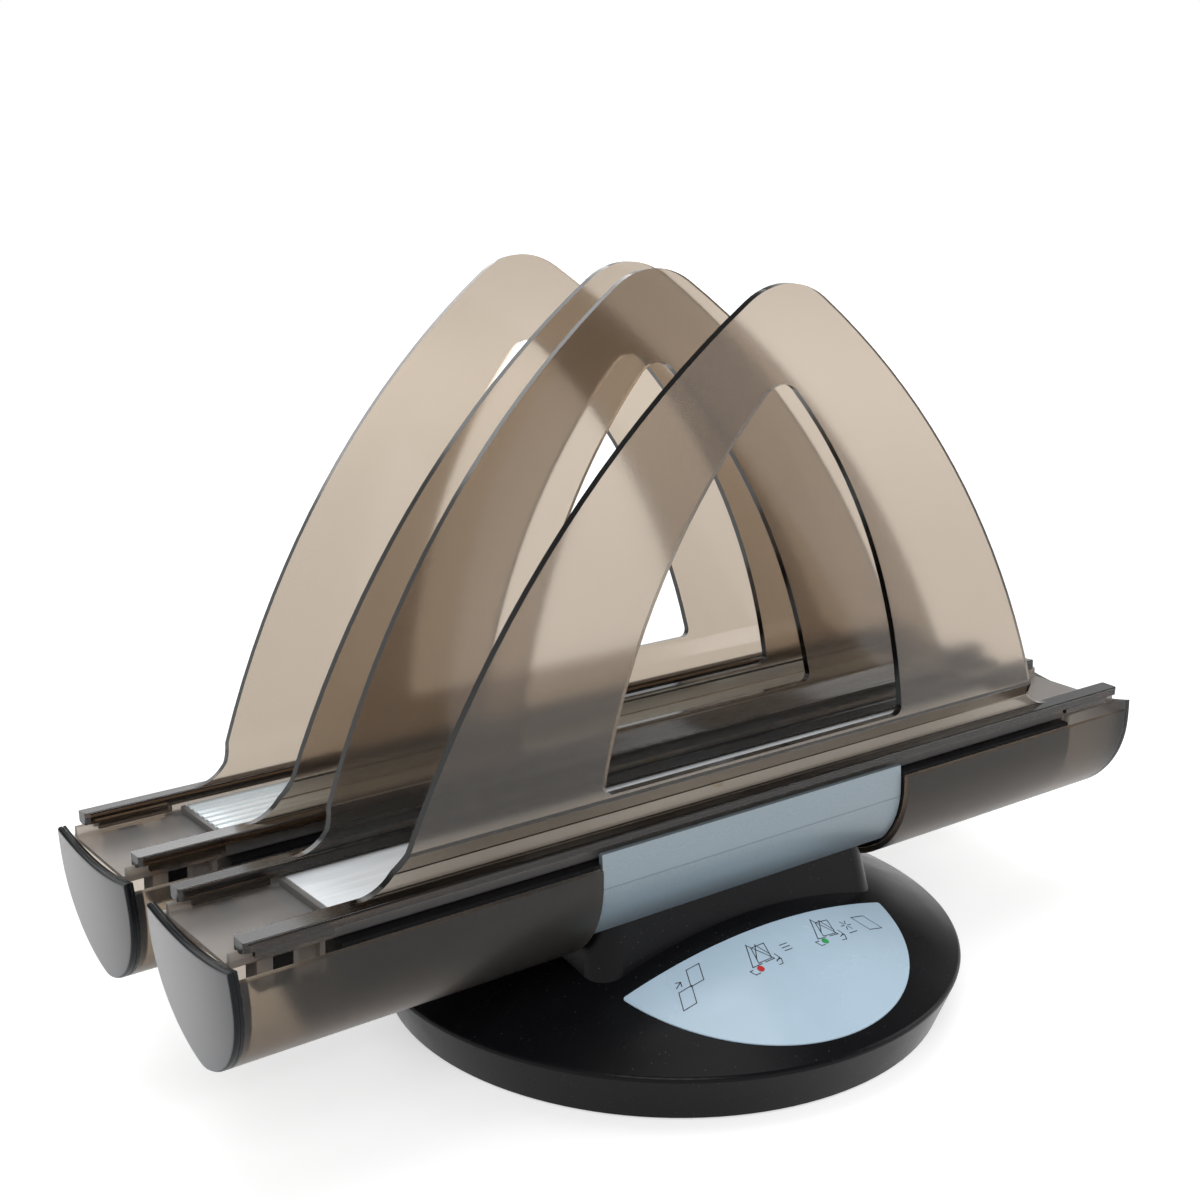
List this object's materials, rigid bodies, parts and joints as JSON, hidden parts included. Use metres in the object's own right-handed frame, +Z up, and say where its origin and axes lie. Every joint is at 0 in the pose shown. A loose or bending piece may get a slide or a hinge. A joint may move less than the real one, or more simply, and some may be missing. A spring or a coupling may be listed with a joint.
{
  "type": "thermal binding machine",
  "caption": "Desktop thermal binder: heating and cooling troughs of smoked plastic with arched document supports, on a round domed base.",
  "frame": {"origin": "on the table under the centre of the round base", "axes": "+X along the troughs, +Y towards the cooling trough at the back, +Z up"},
  "size_m": [0.3946, 0.2136, 0.2563],
  "materials": {
    "smoked_plastic": "smoked transparent moulding, fine satin outside",
    "smoked_cap": "hazy smoked moulding",
    "black_plastic": "satin black moulding",
    "silver_plastic": "satin silver lacquer on plastic",
    "aluminium_plate": "smooth heating plate",
    "ribbed_aluminium": "extruded ribs",
    "rubber": "soft black rubber",
    "steel": "plated steel",
    "heater_film": "amber heating film",
    "circuit_board": "green laminate",
    "component_black": "moulded component",
    "transformer_iron": "laminated core",
    "wire_insulation": "silicone insulation",
    "label_sheet": "pale glossy film, no print",
    "brass": "plain brass"
  },
  "bodies": {
    "root": {"front_right_shell": "smoked_plastic", "front_left_shell": "smoked_plastic", "rear_right_shell": "smoked_plastic", "rear_left_shell": "smoked_plastic", "front_right_end_cap": "smoked_cap", "front_left_end_cap": "smoked_cap", "rear_right_end_cap": "smoked_cap", "rear_left_end_cap": "smoked_cap", "front_band": "silver_plastic", "rear_band": "silver_plastic", "front_frame": "black_plastic", "rear_frame": "black_plastic", "front_tray": "smoked_plastic", "rear_tray": "smoked_plastic", "front_end_blocks": "black_plastic", "rear_end_blocks": "black_plastic", "heating_plate": "aluminium_plate", "cooling_plate": "ribbed_aluminium", "heater_element": "heater_film", "heat_shield": "steel", "thermostat": "steel", "thermal_fuse": "steel", "heater_leads": "wire_insulation", "plunger_spring": "steel", "start_switch": "component_black", "base_shell": "black_plastic", "bottom_plate": "black_plastic", "rubber_feet": "rubber", "base_screws": "steel", "frame_screws": "steel", "base_label": "label_sheet", "power_board": "circuit_board", "control_board": "circuit_board", "transformer": "transformer_iron", "relay": "component_black", "control_chip": "component_black", "power_inlet": "component_black", "switch_housing": "component_black"},
    "heating_front_support": {"heating_front_support": "smoked_plastic"},
    "heating_rear_support": {"heating_rear_support": "smoked_plastic"},
    "cooling_front_support": {"cooling_front_support": "smoked_plastic"},
    "cooling_rear_support": {"cooling_rear_support": "smoked_plastic"},
    "start_plunger": {"start_plunger": "brass"},
    "power_rocker": {"power_rocker": "black_plastic"}
  },
  "joints": [
    {"name": "heating_front_tilt", "type": "hinge", "parent": "root", "child": "heating_front_support", "pos_m": [0, -0.04525, 0.08085], "axis": [-1, 0, 0], "range_deg": [-8.5, 11.5]},
    {"name": "heating_rear_tilt", "type": "hinge", "parent": "root", "child": "heating_rear_support", "pos_m": [0, -0.00595, 0.08085], "axis": [-1, 0, 0], "range_deg": [-16, 2]},
    {"name": "cooling_front_tilt", "type": "hinge", "parent": "root", "child": "cooling_front_support", "pos_m": [0, 0.02385, 0.08085], "axis": [-1, 0, 0], "range_deg": [-2, 7.5]},
    {"name": "cooling_rear_tilt", "type": "hinge", "parent": "root", "child": "cooling_rear_support", "pos_m": [0, 0.06315, 0.08085], "axis": [-1, 0, 0], "range_deg": [-19.5, 0.5]},
    {"name": "start_plunger_press", "type": "slide", "parent": "root", "child": "start_plunger", "axis": [0, 0, -1], "range_m": [0, 0.0014], "stiffness_N_per_m": 250, "springref_m": -0.001, "deforming": ["plunger_spring"]},
    {"name": "power_rocker_tilt", "type": "hinge", "parent": "root", "child": "power_rocker", "pos_m": [-0.016, 0.0989, 0.0096], "axis": [0, 0, 1], "range_deg": [0, 16]}
  ]
}
